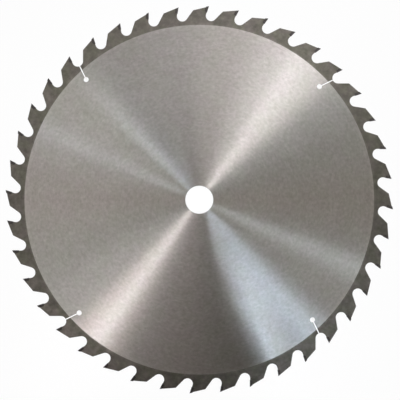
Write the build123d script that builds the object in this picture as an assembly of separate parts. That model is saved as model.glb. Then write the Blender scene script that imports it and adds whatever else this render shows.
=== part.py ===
from build123d import *
import math
import os

# Circular saw blade for a large saw: a steel plate with carbide tips brazed to its teeth.
# The origin is the centre of the bore, at half the thickness of the plate, and +Z is the axis of the bore.
# The cutting edge of tooth 1 is on +Y. Seen from +Z, the teeth point clockwise and are counted clockwise.
# Lengths are in millimetres and angles in degrees.

# Plate
blade_diameter = 350.0
bore_diameter = 25.4
bore_chamfer = 0.2
plate_thickness = 2.5
# The rim outside the ground field is blasted, which leaves it a hair thinner.
rim_band_width = 17.2
rim_relief = 0.02

# Carbide tips
tooth_count = 40
kerf = 3.5
hook_angle = 15.0
tip_length = 6.0
tip_thickness = 2.3
tip_chamfer = 0.5
top_clearance = 15.0
top_bevel = 15.0
side_clearance_down = 1.5
side_clearance_back = 2.5

# Seat of a tip in its tooth, with a layer of braze behind and below the tip
braze_gap = 0.15
land_drop = 0.52

# Tooth back and gullet. The mouth is the arc from a cutting edge to the heel of the tooth ahead of it.
land_angle = 16.0
heel_radius = 0.55
gullet_mouth = 13.1
gullet_radius = 4.85
gullet_depth = 7.7
gullet_undercut = 0.3

# Expansion slots, each from a round hole out to the gullet ahead of a tooth
slot_count = 4
first_slot_tooth = 6
slot_width = 1.0
slot_hole_diameter = 4.7
slot_hole_depth = 26.0
slot_hole_behind = 3.0
slot_lean = 16.4

# Worked out from the values above
cutting_radius = blade_diameter / 2
tooth_pitch = 360 / tooth_count
mouth_angle = math.degrees(gullet_mouth / cutting_radius)
rim_band_radius = cutting_radius - rim_band_width
rim_thickness = plate_thickness - 2 * rim_relief
cutting_edge = Vector(0, cutting_radius, 0)
face_direction = Vector(0, -1, 0).rotate(Axis.Z, -hook_angle)
back_direction = Vector(-1, 0, 0).rotate(Axis.Z, -hook_angle)
seat_back = tip_thickness + braze_gap
seat_floor = tip_length + braze_gap
seat_top = seat_back * math.tan(math.radians(hook_angle + top_clearance)) + land_drop
seat_chamfer = tip_chamfer + braze_gap * (2 - math.sqrt(2))
gullet_centre_behind = gullet_undercut - gullet_radius


def on_tooth(depth, behind):
    """Point of tooth 1 at a depth down its hook face, and at a distance behind that face."""
    return cutting_edge + face_direction * depth + back_direction * behind


def seat_corner(floor, back, leg):
    """Two ends of the chamfer in the lower back corner of a tip or of its seat, the upper end first."""
    return on_tooth(floor - leg, back), on_tooth(floor, back - leg)


def tangent_point(point, centre, radius):
    """Where a line from a point touches a circle, on the clockwise side of the circle's centre."""
    reach = point - centre
    turn = math.degrees(math.acos(radius / reach.length))
    return centre + (reach.normalized() * radius).rotate(Axis.Z, -turn)


def tooth_outline():
    """Edge of the plate from the seat of tooth 1 to the seat of tooth 2, in one open run."""
    land_start = on_tooth(seat_top, seat_back)
    land_direction = Vector(-1, 0, 0).rotate(Axis.Z, land_angle)
    heel_ray = Line((0, 0), Vector(0, cutting_radius, 0).rotate(Axis.Z, tooth_pitch - mouth_angle))
    heel = IntersectingLine(land_start, land_direction, heel_ray) @ 1
    next_heel = heel.rotate(Axis.Z, -tooth_pitch)
    next_land_start = land_start.rotate(Axis.Z, -tooth_pitch)

    corner = seat_corner(seat_floor, seat_back, seat_chamfer)
    seat_front = on_tooth(seat_floor, gullet_undercut)
    gullet_start = on_tooth(gullet_depth, gullet_undercut)
    seat = Polyline(land_start, *corner, seat_front, gullet_start)

    gullet_end = tangent_point(next_heel, on_tooth(gullet_depth, gullet_centre_behind), gullet_radius)
    gullet = TangentArc(gullet_start, gullet_end, tangent=face_direction)
    tooth_back = Polyline(gullet_end, next_heel, next_land_start)
    outline = Wire([*seat.edges(), gullet, *tooth_back.edges()])
    heel_corner = outline.vertices().sort_by_distance(next_heel)[0]
    return outline.fillet_2d(heel_radius, [heel_corner])


def toothed_disc():
    """Outline of the whole plate, with the same run of edge repeated for each tooth."""
    one_tooth = tooth_outline()
    return make_face([one_tooth.rotate(Axis.Z, -tooth_pitch * step) for step in range(tooth_count)])


def expansion_slots():
    """Keyholes of the expansion slots: a round end, and a narrow slot that leans out to the gullet."""
    hole_centre = Vector(-slot_hole_behind, cutting_radius - slot_hole_depth, 0)
    gullet_centre = on_tooth(gullet_depth, gullet_centre_behind)
    slot_length = (gullet_centre - hole_centre).length
    middle = hole_centre + Vector(0, slot_length / 2, 0).rotate(Axis.Z, -slot_lean)
    keyhole = Pos(hole_centre) * Circle(slot_hole_diameter / 2)
    keyhole += Pos(middle) * Rot(0, 0, -slot_lean) * Rectangle(slot_width, slot_length)
    keyholes = Sketch()
    for index in range(slot_count):
        tooth = first_slot_tooth - 1 + round(index * tooth_count / slot_count)
        keyholes += keyhole.rotate(Axis.Z, -tooth_pitch * tooth)
    return keyholes


def blade_plate():
    """Steel plate in one piece: toothed rim, ground field, bore and expansion slots."""
    rim = extrude(toothed_disc(), rim_thickness / 2, both=True)
    ground_field = extrude(Circle(rim_band_radius), plate_thickness / 2, both=True)
    plate = rim + ground_field
    plate -= Cylinder(bore_diameter / 2, plate_thickness)
    bore_edges = plate.edges().filter_by(GeomType.CIRCLE).sort_by_distance((0, 0, 0))[:2]
    plate = chamfer(bore_edges, bore_chamfer)
    return plate - extrude(expansion_slots(), plate_thickness / 2, both=True)


def grinding_plane(point, first_direction, second_direction, outwards):
    """Plane through a point and two directions, facing outwards."""
    normal = first_direction.cross(second_direction)
    if normal.dot(outwards) < 0:
        normal = -normal
    return Plane(origin=point, x_dir=first_direction, z_dir=normal)


def carbide_tip(high_side):
    """Tip of tooth 1: a plain block, then ground on its top and both sides. high_side is 1 or -1 along Z."""
    corner = seat_corner(tip_length, tip_thickness, tip_chamfer)
    block = Polyline(on_tooth(0, 0), on_tooth(0, tip_thickness), *corner, on_tooth(tip_length, 0), close=True)
    tip = extrude(make_face(block), kerf / 2, both=True)

    across = Vector(0, 0, 1)
    high_corner = cutting_edge + across * (high_side * kerf / 2)
    backwards = Vector(-1, 0, 0).rotate(Axis.Z, top_clearance)
    bevel = math.radians(top_bevel)
    along_edge = face_direction * math.sin(bevel) - across * (high_side * math.cos(bevel))
    top = grinding_plane(high_corner, backwards, along_edge, Vector(0, 1, 0))
    tip = split(tip, bisect_by=top, keep=Keep.BOTTOM)

    for side in (1, -1):
        inwards_down = math.radians(side_clearance_down)
        inwards_back = math.radians(side_clearance_back)
        down = face_direction * math.cos(inwards_down) - across * (side * math.sin(inwards_down))
        back = back_direction * math.cos(inwards_back) - across * (side * math.sin(inwards_back))
        flank = grinding_plane(cutting_edge + across * (side * kerf / 2), down, back, across * side)
        tip = split(tip, bisect_by=flank, keep=Keep.BOTTOM)
    return tip


def braze_layer():
    """Braze between the tip of tooth 1 and its seat, flush with the land, the gullet and both faces."""
    outer_corner = seat_corner(seat_floor, seat_back, seat_chamfer)
    inner_corner = seat_corner(tip_length, tip_thickness, tip_chamfer)
    outline = Polyline(
        on_tooth(seat_top, seat_back),
        *outer_corner,
        on_tooth(seat_floor, gullet_undercut),
        on_tooth(tip_length, gullet_undercut),
        *reversed(inner_corner),
        on_tooth(seat_top, tip_thickness),
        close=True,
    )
    return extrude(make_face(outline), rim_thickness / 2, both=True)


def main():
    os.makedirs("parts", exist_ok=True)
    export_step(blade_plate(), "parts/blade_plate.step")

    beveled = {1: carbide_tip(1), -1: carbide_tip(-1)}
    for step in range(tooth_count):
        high_side = 1 if step % 2 == 0 else -1
        tip = beveled[high_side].rotate(Axis.Z, -tooth_pitch * step)
        export_step(tip, f"parts/tip_{step + 1:02d}.step")

    layer = braze_layer()
    layers = [layer.rotate(Axis.Z, -tooth_pitch * step).solid() for step in range(tooth_count)]
    export_step(Compound(children=layers), "parts/braze_joints.step")


main()
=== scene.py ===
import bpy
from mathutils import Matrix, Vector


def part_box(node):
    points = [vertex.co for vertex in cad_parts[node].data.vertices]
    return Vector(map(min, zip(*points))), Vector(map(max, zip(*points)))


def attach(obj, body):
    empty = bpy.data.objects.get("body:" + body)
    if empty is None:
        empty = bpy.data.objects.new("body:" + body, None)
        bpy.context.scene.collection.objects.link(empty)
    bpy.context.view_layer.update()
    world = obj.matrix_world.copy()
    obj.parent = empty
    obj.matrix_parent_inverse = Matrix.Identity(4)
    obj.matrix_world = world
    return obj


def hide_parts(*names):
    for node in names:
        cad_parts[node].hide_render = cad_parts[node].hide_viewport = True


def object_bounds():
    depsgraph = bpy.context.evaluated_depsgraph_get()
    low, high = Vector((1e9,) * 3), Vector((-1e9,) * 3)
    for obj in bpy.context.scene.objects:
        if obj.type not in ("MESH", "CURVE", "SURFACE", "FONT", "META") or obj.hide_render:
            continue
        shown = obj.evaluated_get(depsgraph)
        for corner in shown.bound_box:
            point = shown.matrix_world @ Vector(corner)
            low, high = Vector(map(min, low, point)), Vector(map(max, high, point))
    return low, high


bl_info = {
    "name": "Circular Saw Blade",
    "version": (1, 0, 0),
    "blender": (4, 5, 0),
    "location": "3D Viewport > Sidebar > Saw Blade",
    "description": "Finishes a carbide-tipped circular saw blade and lights it in a small studio",
    "category": "Object",
}

import math

import bmesh
import bpy
from bpy.props import FloatProperty, FloatVectorProperty, PointerProperty
from bpy.types import Operator, Panel, PropertyGroup
from mathutils import Matrix, Vector

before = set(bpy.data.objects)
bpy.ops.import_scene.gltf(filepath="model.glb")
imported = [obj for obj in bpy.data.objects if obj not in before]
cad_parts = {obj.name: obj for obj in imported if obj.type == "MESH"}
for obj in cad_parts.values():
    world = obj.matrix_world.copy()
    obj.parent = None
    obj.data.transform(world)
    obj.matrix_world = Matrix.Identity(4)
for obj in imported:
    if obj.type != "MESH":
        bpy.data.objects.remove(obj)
cad_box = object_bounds()

# The blade lies on the floor with its bore on the Z axis. Lengths are in metres and angles in degrees.

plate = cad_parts["blade_plate"]
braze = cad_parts["braze_joints"]
tips = [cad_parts[name] for name in sorted(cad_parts) if name.startswith("tip_")]

# Two points this near count as one.
SAME_PLACE = 1e-6
# A point this near to the circle where the ground field ends counts as on it.
NEAR_FIELD_EDGE = 5e-5
# A point this near to the outside of the plate counts as on it.
NEAR_OUTSIDE = 1e-4

# Turn of the surface at an edge between two faces. Up to the first they are one flat face, up to the second
# they are shaded as one curve, and from the third the edge is sharp enough to be eased.
FLAT_SEAM = 1.0
SMOOTH_EDGE = 15.0
SHARP_EDGE = 60.0

# A face whose normal has more than the first value along Z lies level, and one with less than the second
# stands upright.
LEVEL = 0.9
UPRIGHT = 0.1


def ground_field_radius():
    """Radius of the ground field, which is the highest face of the plate."""
    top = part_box("blade_plate")[1].z
    return max(vertex.co.xy.length for vertex in plate.data.vertices if vertex.co.z > top - SAME_PLACE)


def rim_face_height():
    """Height of the rim's face above the middle of the plate."""
    outer = max(vertex.co.xy.length for vertex in plate.data.vertices)
    return max(vertex.co.z for vertex in plate.data.vertices if vertex.co.xy.length > outer - NEAR_OUTSIDE)


class PlateSettings(PropertyGroup):
    """Edges and finish of the steel plate."""

    edge_size: FloatProperty(
        name="Edge Size", description="Width of the eased edges of the teeth and slots",
        default=0.00009, min=0.00001, unit="LENGTH", subtype="DISTANCE")
    rim_height: FloatProperty(
        name="Rim Height", description="Height of the rim's face above the middle of the plate",
        default=rim_face_height(), min=0.0001, unit="LENGTH", subtype="DISTANCE")
    field_radius: FloatProperty(
        name="Field Radius", description="Radius at which the ground field ends and the blasted rim starts",
        default=ground_field_radius(), min=0.01, unit="LENGTH", subtype="DISTANCE")

    ground_colour: FloatVectorProperty(
        name="Ground Field", description="Colour of the ground steel inside the rim",
        default=(0.296, 0.279, 0.259), size=3, min=0.0, max=1.0, subtype="COLOR")
    ground_tint: FloatVectorProperty(
        name="Ground Tint", description="Colour of the faint patches of the ground field",
        default=(0.291, 0.283, 0.254), size=3, min=0.0, max=1.0, subtype="COLOR")
    tint_size: FloatProperty(
        name="Tint Size", description="Size of the faint patches of the ground field",
        default=0.016, min=0.0001, unit="LENGTH", subtype="DISTANCE")
    mark_width: FloatProperty(
        name="Mark Width", description="Width of one grinding mark, across the marks",
        default=0.0005, min=0.00001, unit="LENGTH", subtype="DISTANCE")
    mark_length: FloatProperty(
        name="Mark Length", description="Length of one grinding mark, round the blade",
        default=0.005, min=0.0001, unit="LENGTH", subtype="DISTANCE")
    mark_contrast: FloatProperty(
        name="Mark Contrast", description="How far the grinding marks lighten and darken the ground field",
        default=0.55, min=0.0, max=1.0)
    ring_width: FloatProperty(
        name="Ring Width", description="Width of the slightly paler ring at the edge of the ground field",
        default=0.0025, min=0.0, unit="LENGTH", subtype="DISTANCE")
    ring_blur: FloatProperty(
        name="Ring Blur", description="Width over which the paler ring fades into the ground field",
        default=0.001, min=0.00001, unit="LENGTH", subtype="DISTANCE")
    ring_shade: FloatProperty(
        name="Ring Shade", description="Shade of the paler ring, where the ground field has 1",
        default=1.05, min=0.0)
    ground_mottle: FloatProperty(
        name="Ground Mottle", description="How far the uneven spots lighten and darken the ground field",
        default=0.24, min=0.0, max=1.0)
    ground_roughness: FloatProperty(
        name="Ground Roughness", description="Roughness of the ground field",
        default=0.3, min=0.0, max=1.0)
    ground_unevenness: FloatProperty(
        name="Ground Unevenness", description="How far the grinding marks change the roughness",
        default=0.02, min=0.0, max=1.0)

    rim_colour: FloatVectorProperty(
        name="Rim", description="Colour of the blasted steel of the rim and the teeth",
        default=(0.102, 0.093, 0.081), size=3, min=0.0, max=1.0, subtype="COLOR")
    stain_colour: FloatVectorProperty(
        name="Rim Stain", description="Colour of the faint oil stains on the rim",
        default=(0.095, 0.092, 0.073), size=3, min=0.0, max=1.0, subtype="COLOR")
    stain_size: FloatProperty(
        name="Stain Size", description="Size of the oil stains on the rim",
        default=0.011, min=0.0001, unit="LENGTH", subtype="DISTANCE")
    blotch_size: FloatProperty(
        name="Blotch Size", description="Size of the dull blotches on the rim",
        default=0.0065, min=0.0001, unit="LENGTH", subtype="DISTANCE")
    blotch_contrast: FloatProperty(
        name="Blotch Contrast", description="How far the blotches lighten and darken the rim",
        default=0.55, min=0.0, max=1.0)
    inner_width: FloatProperty(
        name="Inner Width", description="Width over which the rim darkens from the edge of the ground field",
        default=0.002, min=0.00001, unit="LENGTH", subtype="DISTANCE")
    inner_shade: FloatProperty(
        name="Inner Shade", description="Shade of the rim at the edge of the ground field, and 1 elsewhere",
        default=1.2, min=0.0)
    rim_grain: FloatProperty(
        name="Rim Grain", description="How far the grain under the blasted finish draws its highlights out",
        default=0.35, min=0.0, max=1.0)
    rim_mottle: FloatProperty(
        name="Rim Mottle", description="How far the uneven spots lighten and darken the rim",
        default=0.38, min=0.0, max=1.0)
    rim_roughness: FloatProperty(
        name="Rim Roughness", description="Roughness of the blasted rim",
        default=0.42, min=0.0, max=1.0)
    rim_unevenness: FloatProperty(
        name="Rim Unevenness", description="How far the blotches change the roughness",
        default=0.06, min=0.0, max=1.0)

    mottle_size: FloatProperty(
        name="Mottle Size", description="Size of the uneven spots all over the steel",
        default=0.0025, min=0.0001, unit="LENGTH", subtype="DISTANCE")
    ripple_height: FloatProperty(
        name="Ripple Height", description="Height of the ripple that goes with the spots",
        default=0.000016, min=0.0, unit="LENGTH", subtype="DISTANCE")
    cloud_size: FloatProperty(
        name="Cloud Size", description="Size of the large, faint clouds of tone all over the steel",
        default=0.035, min=0.0001, unit="LENGTH", subtype="DISTANCE")
    cloud_contrast: FloatProperty(
        name="Cloud Contrast", description="How far the clouds lighten and darken the steel",
        default=0.07, min=0.0, max=1.0)


class TipSettings(PropertyGroup):
    """Finish of the carbide tips."""

    colour: FloatVectorProperty(
        name="Carbide", description="Colour of the ground carbide",
        default=(0.05, 0.046, 0.043), size=3, min=0.0, max=1.0, subtype="COLOR")
    mark_width: FloatProperty(
        name="Mark Width", description="Width of one grinding mark on a tip",
        default=0.00012, min=0.00001, unit="LENGTH", subtype="DISTANCE")
    mark_length: FloatProperty(
        name="Mark Length", description="Length of one grinding mark on a tip",
        default=0.003, min=0.0001, unit="LENGTH", subtype="DISTANCE")
    mark_contrast: FloatProperty(
        name="Mark Contrast", description="How far the grinding marks lighten and darken the carbide",
        default=0.4, min=0.0, max=1.0)
    mark_depth: FloatProperty(
        name="Mark Depth", description="Depth of one grinding mark on a tip",
        default=0.000005, min=0.0, unit="LENGTH", subtype="DISTANCE")
    tarnish_size: FloatProperty(
        name="Tarnish Size", description="Size of the uneven patches on the carbide",
        default=0.004, min=0.0001, unit="LENGTH", subtype="DISTANCE")
    tarnish_contrast: FloatProperty(
        name="Tarnish Contrast", description="How far the patches lighten and darken the carbide",
        default=0.2, min=0.0, max=1.0)
    roughness: FloatProperty(
        name="Roughness", description="Roughness of the carbide",
        default=0.375, min=0.0, max=1.0)
    unevenness: FloatProperty(
        name="Unevenness", description="How far the grinding marks change the roughness",
        default=0.15, min=0.0, max=1.0)


class BrazeSettings(PropertyGroup):
    """Shape and finish of the braze that holds the tips."""

    bead_height: FloatProperty(
        name="Bead Height", description="How far the braze stands out of each face of the plate",
        default=0.0002, min=0.0, unit="LENGTH", subtype="DISTANCE")
    bead_radius: FloatProperty(
        name="Bead Radius", description="Radius over which the edges of a bead are rounded",
        default=0.00006, min=0.00001, unit="LENGTH", subtype="DISTANCE")
    colour: FloatVectorProperty(
        name="Silver Braze", description="Colour of the silver braze",
        default=(0.12, 0.11, 0.092), size=3, min=0.0, max=1.0, subtype="COLOR")
    tarnish_size: FloatProperty(
        name="Tarnish Size", description="Size of the tarnished patches on the braze",
        default=0.0012, min=0.00001, unit="LENGTH", subtype="DISTANCE")
    tarnish_contrast: FloatProperty(
        name="Tarnish Contrast", description="How far the tarnish lightens and darkens the braze",
        default=0.5, min=0.0, max=1.0)
    tarnish_height: FloatProperty(
        name="Tarnish Height", description="Height of the unevenness that goes with the tarnish",
        default=0.00003, min=0.0, unit="LENGTH", subtype="DISTANCE")
    roughness: FloatProperty(
        name="Roughness", description="Roughness of the braze, which is a little higher where it is pale",
        default=0.42, min=0.0, max=1.0)


class StageSettings(PropertyGroup):
    """Floor, camera and general light."""

    floor_size: FloatProperty(
        name="Floor Size", description="Length of one side of the floor",
        default=8.0, min=1.0, unit="LENGTH", subtype="DISTANCE")
    floor_colour: FloatVectorProperty(
        name="Floor", description="Colour of the floor",
        default=(0.95, 0.95, 0.95), size=3, min=0.0, max=1.0, subtype="COLOR")
    floor_glow: FloatProperty(
        name="Floor Glow", description="How much of the floor is plain white to the eye and in reflections",
        default=0.96, min=0.0, max=1.0, subtype="FACTOR")
    frame_width: FloatProperty(
        name="Frame Width", description="Width of the square view at the height of the blade",
        default=0.36129, min=0.01, unit="LENGTH", subtype="DISTANCE")
    camera_height: FloatProperty(
        name="Camera Height", description="Height of the camera above the blade",
        default=1.6, min=0.1, unit="LENGTH", subtype="DISTANCE")
    room_colour: FloatVectorProperty(
        name="Room", description="Colour of the dim room above the blade",
        default=(0.105, 0.1, 0.09), size=3, min=0.0, max=1.0, subtype="COLOR")
    wall_top: FloatProperty(
        name="Wall Top", description="Height where the white walls start to dim, 0 level and 1 straight up",
        default=0.1, min=0.0, max=1.0)
    ceiling_edge: FloatProperty(
        name="Ceiling Edge", description="Height where the room has dimmed, 0 level and 1 straight up",
        default=0.4, min=0.0, max=1.0)


# Turn of the blade in the view: the cutting edge of its first tooth stands this far clockwise of upright.
VIEW_TURN = 2.87
# Point of the blade at the middle of the view, from the bore's centre.
VIEW_CENTRE = Vector((0.00065, -0.00023, 0.0))

# Tints of the studio lights
WHITE = (1.0, 1.0, 1.0)
PEARL = (1.0, 0.97, 1.0)
WARM = (1.0, 0.96, 0.9)
ROSE = (1.0, 0.85, 0.88)
LILAC = (0.93, 0.92, 1.0)
COOL = (0.92, 0.96, 1.0)
SKY = (0.78, 0.87, 1.0)
BLUE = (0.65, 0.78, 1.0)

# Kinds of studio light. Each hangs at a lean away from the vertical. As seen from the blade's centre it
# spans its width round the blade and its length outwards. It faces the point that stands out from that centre
# by its aim, and its light spreads by its beam.
LIGHT_KINDS = {
    # kind: lean, distance, width, length, aim, beam
    "panel": (25.0, 1.6, 20.0, 20.0, 0.0, 180.0),
    "near_panel": (35.0, 0.5, 20.0, 24.0, 0.1, 50.0),
    "strip": (35.0, 1.0, 6.0, 16.0, 0.12, 24.0),
    "low_strip": (50.0, 1.0, 4.0, 16.0, 0.11, 24.0),
    "window": (62.0, 0.5, 5.0, 16.0, 0.11, 30.0),
    "inner_slit": (62.0, 0.5, 2.0, 8.0, 0.04, 10.0),
    "middle_slit": (62.0, 0.5, 2.0, 8.0, 0.08, 10.0),
    "outer_slit": (62.0, 0.5, 2.0, 8.0, 0.12, 10.0),
}

# Studio lights, each at a compass angle in the view, anticlockwise from the right. The ground steel shows
# each one as a streak along its angle, and the ones with a wide beam along the opposite angle too.
LIGHTS = (
    # kind, angle, tint, brightness
    ("panel", 0, WARM, 1.4),
    ("panel", 20, WHITE, 2.0),
    ("panel", 40, COOL, 3.5),
    ("panel", 60, PEARL, 4.1),
    ("panel", 80, ROSE, 2.1),
    ("panel", 100, WARM, 0.9),
    ("panel", 180, ROSE, 1.1),
    ("panel", 340, WHITE, 1.9),
    ("near_panel", 60, LILAC, 0.28),
    ("near_panel", 80, COOL, 0.25),
    ("near_panel", 100, LILAC, 0.24),
    ("near_panel", 120, PEARL, 0.22),
    ("near_panel", 140, WHITE, 0.29),
    ("near_panel", 160, PEARL, 0.2),
    ("near_panel", 180, PEARL, 0.13),
    ("near_panel", 200, WHITE, 0.17),
    ("near_panel", 220, PEARL, 0.2),
    ("near_panel", 320, WHITE, 0.15),
    ("strip", 46, PEARL, 0.25),
    ("strip", 54, LILAC, 0.25),
    ("strip", 238, ROSE, 0.18),
    ("strip", 310, BLUE, 0.5),
    ("low_strip", 156, SKY, 0.26),
    ("low_strip", 333, SKY, 0.12),
    ("low_strip", 337, SKY, 0.42),
    ("window", 229, ROSE, 0.9),
    ("window", 234, LILAC, 1.6),
    ("window", 299, SKY, 1.35),
    ("inner_slit", 134, SKY, 0.52),
    ("inner_slit", 285, WARM, 0.1),
    ("inner_slit", 291, SKY, 1.0),
    ("outer_slit", 295, BLUE, 1.2),
    ("middle_slit", 304, BLUE, 1.15),
)

# Middle of a noise texture's values, and of the shade of the grinding marks, which is made of them
NOISE_MIDDLE = 0.5
# Values of the noise between which a mask of patches goes from 0 to 1
MASK_START = 0.375
MASK_END = 0.625

# How often the grinding marks wander aside in the length of one mark, and by how many of their widths
WANDER_PACE = 0.9
WANDER_WIDTHS = 9.0
# Scale of the broad grinding marks against the fine ones, which makes them a little shorter and four times as
# wide, and their share of the shade
BROAD_SCALE = (1.2, 1.2, 0.25)
BROAD_SHARE = 0.65


def add_node(tree, kind, label="", **settings):
    """Shader node with a label and its own settings."""
    node = tree.nodes.new(kind)
    node.label = label
    for name, value in settings.items():
        setattr(node, name, value)
    return node


def set_inputs(node, values):
    """Sets unlinked inputs of a node by name or number."""
    for name, value in values.items():
        node.inputs[name].default_value = value


def feed(tree, socket, value):
    """Links an input to another node's socket, or sets it to a plain value."""
    if isinstance(value, bpy.types.NodeSocket):
        tree.links.new(value, socket)
    else:
        socket.default_value = value


def math_node(tree, operation, *operands):
    """Output of a Math node whose operands are sockets or numbers."""
    node = add_node(tree, "ShaderNodeMath", operation=operation)
    for socket, operand in zip(node.inputs, operands):
        feed(tree, socket, operand)
    return node.outputs[0]


def product(tree, *shades):
    """Socket of several shades multiplied."""
    result = shades[0]
    for shade in shades[1:]:
        result = math_node(tree, "MULTIPLY", result, shade)
    return result


def varied(tree, shade, middle, value, swing):
    """Socket that swings about a value as a shade socket swings about its middle."""
    return math_node(tree, "ADD", math_node(tree, "MULTIPLY", shade, swing), value - middle * swing)


def add_noise(tree, label, vector, **values):
    """Output of a 3-D noise texture. Scale, Detail and Roughness are sockets or numbers."""
    noise = add_node(tree, "ShaderNodeTexNoise", label, noise_dimensions="3D")
    tree.links.new(vector, noise.inputs["Vector"])
    for name, value in values.items():
        feed(tree, noise.inputs[name], value)
    return noise.outputs["Fac"]


def joined(tree, x, y, z):
    """Vector socket of three parts, each a socket or a number."""
    node = add_node(tree, "ShaderNodeCombineXYZ")
    for socket, part in zip(node.inputs, (x, y, z)):
        feed(tree, socket, part)
    return node.outputs[0]


def vector_math(tree, operation, first, second):
    """Vector socket of a sum or a product of two vectors, each a socket or plain."""
    node = add_node(tree, "ShaderNodeVectorMath", operation=operation)
    feed(tree, node.inputs[0], first)
    feed(tree, node.inputs[1], second)
    return node.outputs[0]


def new_group(name, inputs, outputs):
    """Empty shader node group with named sockets, as (tree, sockets given to it, sockets of its results)."""
    tree = bpy.data.node_groups.new(name, "ShaderNodeTree")
    for socket_name, socket_type, default in inputs:
        socket = tree.interface.new_socket(name=socket_name, in_out="INPUT", socket_type=socket_type)
        if default is not None:
            socket.default_value = default
    for socket_name, socket_type in outputs:
        tree.interface.new_socket(name=socket_name, in_out="OUTPUT", socket_type=socket_type)
    return tree, tree.nodes.new("NodeGroupInput").outputs, tree.nodes.new("NodeGroupOutput").inputs


def polar_group():
    """Splits a point into its distance from the blade's axis and a position whose Z is that distance."""
    tree, given, results = new_group(
        "Polar Position",
        (("Position", "NodeSocketVector", None),),
        (("Radius", "NodeSocketFloat"), ("Polar Position", "NodeSocketVector")),
    )
    parts = add_node(tree, "ShaderNodeSeparateXYZ")
    tree.links.new(given["Position"], parts.inputs[0])
    x, y, _ = parts.outputs
    radius = math_node(tree, "SQRT", math_node(tree, "ADD", product(tree, x, x), product(tree, y, y)))
    tree.links.new(radius, results["Radius"])
    tree.links.new(joined(tree, x, y, radius), results["Polar Position"])
    return tree


def grinding_group():
    """Long fine marks that run round the blade, as a height and as a shade from 0 to 1."""
    tree, given, results = new_group(
        "Grinding Marks",
        (
            ("Polar Position", "NodeSocketVector", None),
            ("Mark Width", "NodeSocketFloat", 0.0005),
            ("Mark Length", "NodeSocketFloat", 0.005),
        ),
        (("Shade", "NodeSocketFloat"), ("Height", "NodeSocketFloat")),
    )
    position = given["Polar Position"]
    along = math_node(tree, "DIVIDE", 1.0, given["Mark Length"])
    across = math_node(tree, "DIVIDE", 1.0, given["Mark Width"])
    stretched = vector_math(tree, "MULTIPLY", position, joined(tree, along, along, across))
    pace = math_node(tree, "MULTIPLY", along, WANDER_PACE)
    wander = add_noise(tree, "Wander", position, Scale=pace, Detail=1.0)
    aside = joined(tree, 0.0, 0.0, math_node(tree, "MULTIPLY", wander, WANDER_WIDTHS))
    bent = vector_math(tree, "ADD", stretched, aside)

    fine = add_noise(tree, "Fine Marks", bent, Scale=1.0, Detail=4.0, Roughness=0.6)
    coarse = vector_math(tree, "MULTIPLY", bent, BROAD_SCALE)
    broad = add_noise(tree, "Broad Marks", coarse, Scale=1.0, Detail=2.0, Roughness=0.5)
    fine_part = math_node(tree, "MULTIPLY", fine, 1.0 - BROAD_SHARE)
    broad_part = math_node(tree, "MULTIPLY", broad, BROAD_SHARE)
    tree.links.new(math_node(tree, "ADD", fine_part, broad_part), results["Shade"])
    tree.links.new(broad, results["Height"])
    return tree


def tarnish_group():
    """Soft patches on bare metal, as a shade about 1 and as a mask from 0 to 1."""
    tree, given, results = new_group(
        "Tarnish",
        (
            ("Position", "NodeSocketVector", None),
            ("Patch Size", "NodeSocketFloat", 0.03),
            ("Contrast", "NodeSocketFloat", 0.1),
        ),
        (("Shade", "NodeSocketFloat"), ("Mask", "NodeSocketFloat")),
    )
    scale = math_node(tree, "DIVIDE", 1.0, given["Patch Size"])
    patches = add_noise(tree, "Patches", given["Position"], Scale=scale, Detail=4.0, Roughness=0.5)
    swing = product(tree, math_node(tree, "SUBTRACT", patches, NOISE_MIDDLE), given["Contrast"])
    # The noise swings by a half about its middle, and the contrast is for a swing of one.
    tree.links.new(varied(tree, swing, 0.0, 1.0, 2.0), results["Shade"])
    mask = add_node(tree, "ShaderNodeMapRange", "Mask", interpolation_type="SMOOTHSTEP")
    set_inputs(mask, {"From Min": MASK_START, "From Max": MASK_END})
    tree.links.new(patches, mask.inputs["Value"])
    tree.links.new(mask.outputs["Result"], results["Mask"])
    return tree


GROUP_BUILDERS = {"Polar Position": polar_group, "Grinding Marks": grinding_group, "Tarnish": tarnish_group}


def shared_group(tree, name, position, values):
    """Outputs of one of the shared groups, placed in a material. The group is built on its first use."""
    node = tree.nodes.new("ShaderNodeGroup")
    node.node_tree = bpy.data.node_groups.get(name) or GROUP_BUILDERS[name]()
    tree.links.new(position, node.inputs[0])
    set_inputs(node, values)
    return node.outputs


def polar(tree, position):
    """Radius and polar position of a point."""
    outputs = shared_group(tree, "Polar Position", position, {})
    return outputs["Radius"], outputs["Polar Position"]


def grinding_marks(tree, polar_position, settings):
    """Shade and height of grinding marks of the settings' size."""
    size = {"Mark Width": settings.mark_width, "Mark Length": settings.mark_length}
    outputs = shared_group(tree, "Grinding Marks", polar_position, size)
    return outputs["Shade"], outputs["Height"]


def tarnish_shade(tree, position, patch_size, contrast):
    """Shade about 1 of one layer of tarnish."""
    return shared_group(tree, "Tarnish", position, {"Patch Size": patch_size, "Contrast": contrast})["Shade"]


def patch_mask(tree, position, patch_size):
    """Mask from 0 to 1 of soft patches, for mixing two colours."""
    return shared_group(tree, "Tarnish", position, {"Patch Size": patch_size})["Mask"]


def band_shade(tree, radius, start, end, first, last):
    """Shade that goes from the first value to the last between two distances from the blade's axis."""
    ramp = add_node(tree, "ShaderNodeMapRange", "Band Shade", interpolation_type="SMOOTHSTEP")
    set_inputs(ramp, {"From Min": start, "From Max": end, "To Min": first, "To Max": last})
    tree.links.new(radius, ramp.inputs["Value"])
    return ramp.outputs["Result"]


def colour_mix(tree, factor, first, second):
    """Colour socket that goes from one colour to another as the factor socket goes from 0 to 1."""
    mix = add_node(tree, "ShaderNodeMix", data_type="RGBA")
    tree.links.new(factor, mix.inputs["Factor"])
    # The colour sockets come after the float and vector ones of the same names.
    mix.inputs[6].default_value = (*first, 1.0)
    mix.inputs[7].default_value = (*second, 1.0)
    return mix.outputs[2]


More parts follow.
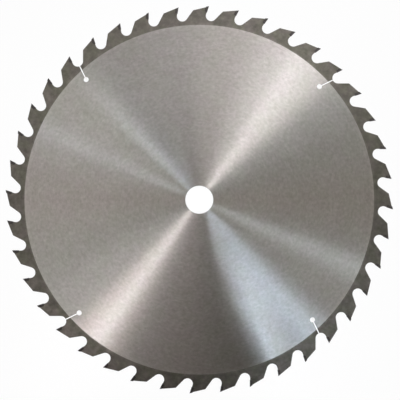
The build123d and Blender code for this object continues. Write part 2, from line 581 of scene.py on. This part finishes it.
def shaded(tree, colour, shade):
    """Colour socket of a colour, plain or a socket, multiplied by a shade socket."""
    tint = add_node(tree, "ShaderNodeVectorMath", "Shaded Colour", operation="SCALE")
    feed(tree, tint.inputs[0], colour)
    tree.links.new(shade, tint.inputs["Scale"])
    return tint.outputs[0]


def new_metal(name):
    """Material with a bare metal shader, as (material, tree, shader, object coordinates)."""
    material = bpy.data.materials.new(name)
    material.use_nodes = True
    tree = material.node_tree
    shader = tree.nodes["Principled BSDF"]
    shader.inputs["Metallic"].default_value = 1.0
    coordinates = add_node(tree, "ShaderNodeTexCoord")
    return material, tree, shader, coordinates.outputs["Object"]


def link_finish(tree, shader, colour, roughness):
    """Links a shader's colour and roughness."""
    tree.links.new(colour, shader.inputs["Base Color"])
    tree.links.new(roughness, shader.inputs["Roughness"])


def add_bump(tree, shader, height, distance, strength=1.0):
    """Feeds a height socket through a Bump node to the shader's normal."""
    bump = add_node(tree, "ShaderNodeBump")
    set_inputs(bump, {"Strength": strength, "Distance": distance})
    tree.links.new(height, bump.inputs["Height"])
    tree.links.new(bump.outputs["Normal"], shader.inputs["Normal"])


def circular_grain(tree, shader, amount):
    """Draws a shader's highlights out across a grain that runs round the blade."""
    shader.inputs["Anisotropic"].default_value = amount
    # A quarter of a turn from the direction of the grain
    shader.inputs["Anisotropic Rotation"].default_value = 0.25
    tangent = add_node(tree, "ShaderNodeTangent", direction_type="RADIAL", axis="Z")
    tree.links.new(tangent.outputs["Tangent"], shader.inputs["Tangent"])


def ground_steel(settings):
    """Steel ground in circles, on the faces inside the rim."""
    material, tree, shader, position = new_metal("tool_steel_ground")
    radius, polar_position = polar(tree, position)
    marks, _ = grinding_marks(tree, polar_position, settings)
    mottle = tarnish_shade(tree, position, settings.mottle_size, settings.ground_mottle)
    ring_start = settings.field_radius - settings.ring_width
    half_blur = settings.ring_blur / 2
    shade = product(
        tree,
        varied(tree, marks, NOISE_MIDDLE, 1.0, settings.mark_contrast),
        mottle,
        tarnish_shade(tree, position, settings.cloud_size, settings.cloud_contrast),
        band_shade(tree, radius, ring_start - half_blur, ring_start + half_blur, 1.0, settings.ring_shade),
    )
    patches = patch_mask(tree, position, settings.tint_size)
    colour = colour_mix(tree, patches, settings.ground_colour, settings.ground_tint)
    roughness = varied(tree, marks, NOISE_MIDDLE, settings.ground_roughness, settings.ground_unevenness)
    link_finish(tree, shader, shaded(tree, colour, shade), roughness)
    circular_grain(tree, shader, 1.0)
    # A ripple in the face breaks the edges of the streaks into threads.
    add_bump(tree, shader, mottle, settings.ripple_height)
    return material


def blasted_steel(settings):
    """Matt blasted steel, on the rim, the teeth and all edges."""
    material, tree, shader, position = new_metal("tool_steel_blasted")
    radius, _ = polar(tree, position)
    mottle = tarnish_shade(tree, position, settings.mottle_size, settings.rim_mottle)
    blotches = tarnish_shade(tree, position, settings.blotch_size, settings.blotch_contrast)
    inner_end = settings.field_radius + settings.inner_width
    shade = product(
        tree,
        mottle,
        blotches,
        tarnish_shade(tree, position, settings.cloud_size, settings.cloud_contrast),
        band_shade(tree, radius, settings.field_radius, inner_end, settings.inner_shade, 1.0),
    )
    stains = patch_mask(tree, position, settings.stain_size)
    colour = colour_mix(tree, stains, settings.rim_colour, settings.stain_colour)
    roughness = varied(tree, blotches, 1.0, settings.rim_roughness, settings.rim_unevenness)
    link_finish(tree, shader, shaded(tree, colour, shade), roughness)
    circular_grain(tree, shader, settings.rim_grain)
    add_bump(tree, shader, mottle, settings.ripple_height)
    return material


def carbide_material(settings):
    """Dark carbide with fine grinding marks."""
    material, tree, shader, position = new_metal("carbide_ground")
    _, polar_position = polar(tree, position)
    marks, height = grinding_marks(tree, polar_position, settings)
    shade = product(
        tree,
        varied(tree, marks, NOISE_MIDDLE, 1.0, settings.mark_contrast),
        tarnish_shade(tree, position, settings.tarnish_size, settings.tarnish_contrast),
    )
    roughness = varied(tree, marks, NOISE_MIDDLE, settings.roughness, settings.unevenness)
    link_finish(tree, shader, shaded(tree, settings.colour, shade), roughness)
    add_bump(tree, shader, height, settings.mark_depth, strength=0.3)
    return material


def braze_material(settings):
    """Silver braze, tarnished in patches."""
    material, tree, shader, position = new_metal("silver_braze")
    tarnish = tarnish_shade(tree, position, settings.tarnish_size, settings.tarnish_contrast)
    roughness = math_node(tree, "MULTIPLY", tarnish, settings.roughness)
    link_finish(tree, shader, shaded(tree, settings.colour, tarnish), roughness)
    add_bump(tree, shader, tarnish, settings.tarnish_height, strength=0.4)
    return material


def finish(pieces, material):
    """Puts one material on CAD pieces, on the object and not on its mesh."""
    for piece in pieces:
        for slot in piece.material_slots:
            slot.link = "OBJECT"
            slot.material = material


def whole_copy(node):
    """A CAD node's mesh as a bmesh, with its loose triangles joined and its flat faces whole."""
    form = bmesh.new()
    form.from_mesh(node.data)
    bmesh.ops.remove_doubles(form, verts=form.verts, dist=SAME_PLACE)
    bmesh.ops.dissolve_limit(form, angle_limit=math.radians(FLAT_SEAM), verts=form.verts, edges=form.edges)
    return form


def new_piece(name, form, replaced_node, materials):
    """Makes a bmesh a piece of the blade that stands for a CAD node."""
    mesh = bpy.data.meshes.new(name)
    form.to_mesh(mesh)
    form.free()
    # The CAD mesh's own normals no longer fit the new shape.
    old_normals = mesh.attributes.get("custom_normal")
    if old_normals:
        mesh.attributes.remove(old_normals)
    for material in materials:
        mesh.materials.append(material)
    piece = bpy.data.objects.new(name, mesh)
    bpy.context.scene.collection.objects.link(piece)
    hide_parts(replaced_node)
    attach(piece, "root")
    return piece


def eased_plate(settings):
    """The plate with the sharp edges of its teeth and slots eased."""
    form = whole_copy(plate)

    def at_field_edge(vert):
        return abs(vert.co.xy.length - settings.field_radius) < NEAR_FIELD_EDGE

    def at_face(vert):
        return abs(vert.co.z) > settings.rim_height - SAME_PLACE

    edges = [
        edge for edge in form.edges
        if edge.calc_face_angle(0.0) > math.radians(SHARP_EDGE)
        and all(at_face(vert) for vert in edge.verts)
        and not all(at_field_edge(vert) for vert in edge.verts)
    ]
    bmesh.ops.bevel(
        form, geom=edges, offset=settings.edge_size, offset_type="OFFSET", segments=2, profile=0.5,
        affect="EDGES", material=-1)
    for face in form.faces:
        height = abs(face.calc_center_median().z)
        ground = abs(face.normal.z) > LEVEL and height > settings.rim_height + SAME_PLACE
        face.material_index = 0 if ground else 1
        face.smooth = abs(face.normal.z) < UPRIGHT
    for edge in form.edges:
        edge.smooth = edge.calc_face_angle(0.0) < math.radians(SMOOTH_EDGE)
    return form


class SAWBLADE_OT_plate(Operator):
    """Make the steel plate, ground inside and blasted at the rim, with its edges eased"""
    bl_idname = "sawblade.plate"
    bl_label = "Make Plate"

    def execute(self, context):
        settings = context.scene.saw_plate
        materials = (ground_steel(settings), blasted_steel(settings))
        new_piece("plate_body", eased_plate(settings), "blade_plate", materials)
        return {"FINISHED"}


class SAWBLADE_OT_tips(Operator):
    """Finish the carbide tips"""
    bl_idname = "sawblade.tips"
    bl_label = "Finish Tips"

    def execute(self, context):
        finish(tips, carbide_material(context.scene.saw_tips))
        return {"FINISHED"}


def braze_beads(settings):
    """The braze joints, with each end drawn out beyond the plate and rounded over as a bead."""
    form = whole_copy(braze)
    for side in (1, -1):
        end = [vert for vert in form.verts if vert.co.z * side > 0]
        bmesh.ops.translate(form, verts=end, vec=(0, 0, side * settings.bead_height))
    bmesh.ops.recalc_face_normals(form, faces=form.faces)
    rims = {edge for face in form.faces if abs(face.normal.z) > LEVEL for edge in face.edges}
    bmesh.ops.bevel(
        form, geom=list(rims), offset=settings.bead_radius, offset_type="OFFSET", segments=3, profile=0.5,
        affect="EDGES", material=-1)
    return form


class SAWBLADE_OT_braze(Operator):
    """Draw out the braze between the tips and the teeth into small beads"""
    bl_idname = "sawblade.braze"
    bl_label = "Make Braze Beads"

    def execute(self, context):
        settings = context.scene.saw_braze
        materials = (braze_material(settings),)
        new_piece("braze_beads", braze_beads(settings), "braze_joints", materials)
        return {"FINISHED"}


def view_direction(angle):
    """Direction in the blade's plane of a compass angle in the view."""
    turned = math.radians(angle + VIEW_TURN)
    return Vector((math.cos(turned), math.sin(turned), 0.0))


def add_light(kind, angle, tint, brightness):
    """Rectangular light of one of the kinds."""
    lean, distance, width, length, aim, beam = LIGHT_KINDS[kind]
    outwards = view_direction(angle)
    lean = math.radians(lean)
    place = (outwards * math.sin(lean) + Vector((0, 0, math.cos(lean)))) * distance
    facing = (place - outwards * aim).normalized()
    across = Vector((0, 0, 1)).cross(outwards)
    name = f"{kind}_{angle:03d}"
    data = bpy.data.lights.new(name, "AREA")
    data.shape = "RECTANGLE"
    data.size = 2 * distance * math.sin(lean) * math.tan(math.radians(width / 2))
    data.size_y = 2 * distance * math.tan(math.radians(length / 2))
    data.spread = math.radians(beam)
    data.color = tint
    data.energy = brightness * math.pi * data.size * data.size_y
    light = bpy.data.objects.new(name, data)
    turn = Matrix((across, facing.cross(across), facing)).transposed()
    light.matrix_world = Matrix.Translation(place) @ turn.to_4x4()
    light.visible_camera = False
    bpy.context.scene.collection.objects.link(light)


def add_floor(settings):
    """Pale floor under the blade, which shows nearly white and keeps the blade's shadow."""
    mesh = bpy.data.meshes.new("floor")
    form = bmesh.new()
    bmesh.ops.create_grid(form, x_segments=1, y_segments=1, size=settings.floor_size / 2)
    bmesh.ops.translate(form, verts=form.verts, vec=(0, 0, cad_box[0].z))
    form.to_mesh(mesh)
    form.free()
    floor = bpy.data.objects.new("floor", mesh)
    bpy.context.scene.collection.objects.link(floor)

    material = bpy.data.materials.new("floor")
    material.use_nodes = True
    tree = material.node_tree
    tree.nodes.clear()
    paper = add_node(tree, "ShaderNodeBsdfDiffuse", "Paper")
    paper.inputs["Color"].default_value = (*settings.floor_colour, 1.0)
    backdrop = add_node(tree, "ShaderNodeEmission", "White Backdrop")
    rays = add_node(tree, "ShaderNodeLightPath")
    seen = math_node(tree, "MAXIMUM", rays.outputs["Is Camera Ray"], rays.outputs["Is Glossy Ray"])
    seen = math_node(tree, "MAXIMUM", seen, rays.outputs["Is Transmission Ray"])
    mix = add_node(tree, "ShaderNodeMixShader")
    tree.links.new(math_node(tree, "MULTIPLY", seen, settings.floor_glow), mix.inputs["Fac"])
    tree.links.new(paper.outputs[0], mix.inputs[1])
    tree.links.new(backdrop.outputs[0], mix.inputs[2])
    output = add_node(tree, "ShaderNodeOutputMaterial")
    tree.links.new(mix.outputs[0], output.inputs["Surface"])
    mesh.materials.append(material)


def light_room(settings):
    """Even room light from above, with white walls at the horizon."""
    world = bpy.data.worlds.new("room")
    bpy.context.scene.world = world
    world.use_nodes = True
    tree = world.node_tree
    direction = add_node(tree, "ShaderNodeTexCoord")
    parts = add_node(tree, "ShaderNodeSeparateXYZ")
    tree.links.new(direction.outputs["Generated"], parts.inputs[0])
    ceiling = add_node(tree, "ShaderNodeMapRange", "Wall to Ceiling", interpolation_type="SMOOTHSTEP")
    set_inputs(ceiling, {"From Min": settings.wall_top, "From Max": settings.ceiling_edge})
    tree.links.new(parts.outputs["Z"], ceiling.inputs["Value"])
    colour = colour_mix(tree, ceiling.outputs["Result"], (1.0, 1.0, 1.0), settings.room_colour)
    tree.links.new(colour, tree.nodes["Background"].inputs["Color"])


def add_camera(settings):
    """Camera straight above the blade."""
    data = bpy.data.cameras.new("camera")
    data.lens = data.sensor_width * settings.camera_height / settings.frame_width
    camera = bpy.data.objects.new("camera", data)
    camera.location = VIEW_CENTRE + Vector((0, 0, settings.camera_height))
    camera.rotation_euler = (0.0, 0.0, math.radians(VIEW_TURN))
    bpy.context.scene.collection.objects.link(camera)
    bpy.context.scene.camera = camera


class SAWBLADE_OT_stage(Operator):
    """Lay the floor, hang the lights and set the camera"""
    bl_idname = "sawblade.stage"
    bl_label = "Set Stage"

    def execute(self, context):
        settings = context.scene.saw_stage
        add_floor(settings)
        light_room(settings)
        for light in LIGHTS:
            add_light(*light)
        add_camera(settings)
        context.scene.view_settings.view_transform = "Standard"
        return {"FINISHED"}


class SAWBLADE_PT_steps(Panel):
    """The steps that finish and light the blade"""
    bl_label = "Circular Saw Blade"
    bl_space_type = "VIEW_3D"
    bl_region_type = "UI"
    bl_category = "Saw Blade"

    def draw(self, context):
        for step in STEPS:
            self.layout.operator(step.bl_idname)


STEPS = (SAWBLADE_OT_plate, SAWBLADE_OT_tips, SAWBLADE_OT_braze, SAWBLADE_OT_stage)
SETTINGS = {
    "saw_plate": PlateSettings,
    "saw_tips": TipSettings,
    "saw_braze": BrazeSettings,
    "saw_stage": StageSettings,
}


def register():
    for cls in (*SETTINGS.values(), *STEPS, SAWBLADE_PT_steps):
        bpy.utils.register_class(cls)
    for name, cls in SETTINGS.items():
        setattr(bpy.types.Scene, name, PointerProperty(type=cls))


def unregister():
    for name in SETTINGS:
        delattr(bpy.types.Scene, name)
    for cls in reversed((*SETTINGS.values(), *STEPS, SAWBLADE_PT_steps)):
        bpy.utils.unregister_class(cls)


def main():
    register()
    bpy.ops.sawblade.plate()
    bpy.ops.sawblade.tips()
    bpy.ops.sawblade.braze()
    bpy.ops.sawblade.stage()


if __name__ == "__main__":
    main()
